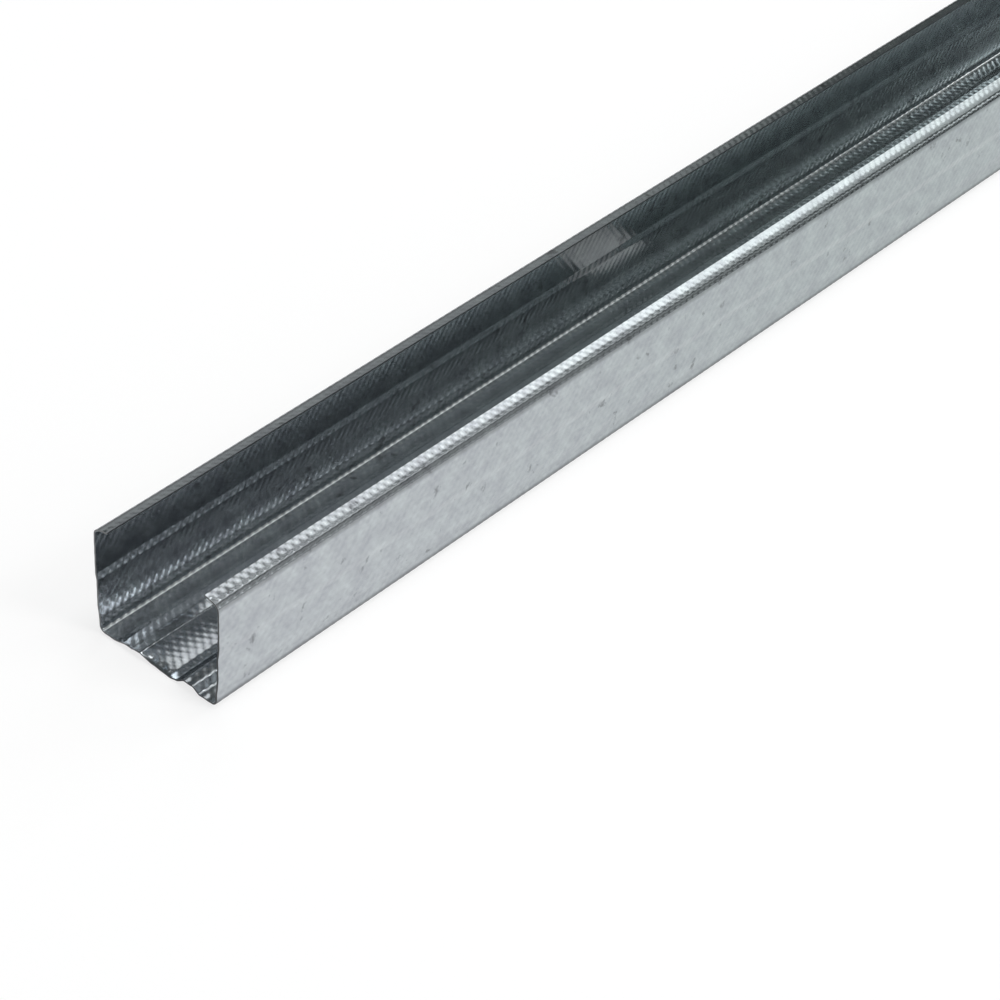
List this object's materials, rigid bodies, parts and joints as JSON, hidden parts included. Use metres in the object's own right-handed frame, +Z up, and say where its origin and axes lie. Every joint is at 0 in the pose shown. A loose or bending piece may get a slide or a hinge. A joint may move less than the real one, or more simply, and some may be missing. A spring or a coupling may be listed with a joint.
{
  "type": "drywall metal stud",
  "caption": "Roll formed galvanised steel wall stud: a dimpled lipped channel with a ribbed web, stepped flanges and service holes.",
  "frame": {"origin": "middle of the length and of the width, on the underside of the web", "axes": "+X along the stud, +Y across it towards one flange, +Z up out of the open side"},
  "size_m": [2.44, 0.043, 0.033],
  "materials": {
    "galvanised_steel": "hot dip galvanised, fine dimpled all over"
  },
  "bodies": {
    "root": {"stud": "galvanised_steel"}
  },
  "joints": []
}
